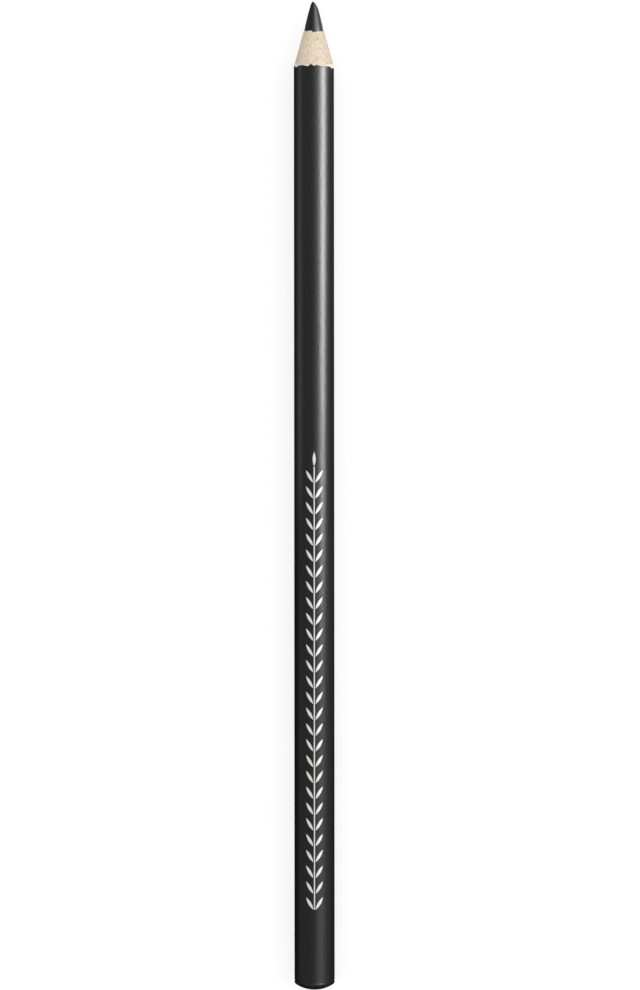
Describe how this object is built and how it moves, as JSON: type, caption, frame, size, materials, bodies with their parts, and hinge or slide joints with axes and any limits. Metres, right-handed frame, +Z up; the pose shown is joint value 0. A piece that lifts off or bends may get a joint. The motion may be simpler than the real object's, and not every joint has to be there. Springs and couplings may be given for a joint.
{
  "type": "kohl pencil",
  "caption": "Round wood-cased kohl pencil lying on its side: black lacquered barrel, sharpened point of pale wood and soft black core, and a domed end dipped in lacquer.",
  "frame": {"origin": "where the middle of the pencil's length meets the surface that the pencil lies on", "axes": "+Y along the pencil's axis, from the domed end towards the sharpened tip; +Z up, away from the surface"},
  "size_m": [0.007, 0.172, 0.007],
  "materials": {
    "kohl": "waxy satin",
    "casing_wood": "bare, blade-cut",
    "wood_glue": "matte",
    "primer": "matte",
    "black_lacquer": "satin gloss",
    "silver_foil": "matte hot-stamped foil"
  },
  "bodies": {
    "root": {"kohl_core": "kohl", "upper_slat": "casing_wood", "lower_slat": "casing_wood", "left_glue_line": "wood_glue", "right_glue_line": "wood_glue", "primer_coat": "primer", "lacquer_coat": "black_lacquer", "end_dip": "black_lacquer"}
  },
  "joints": []
}
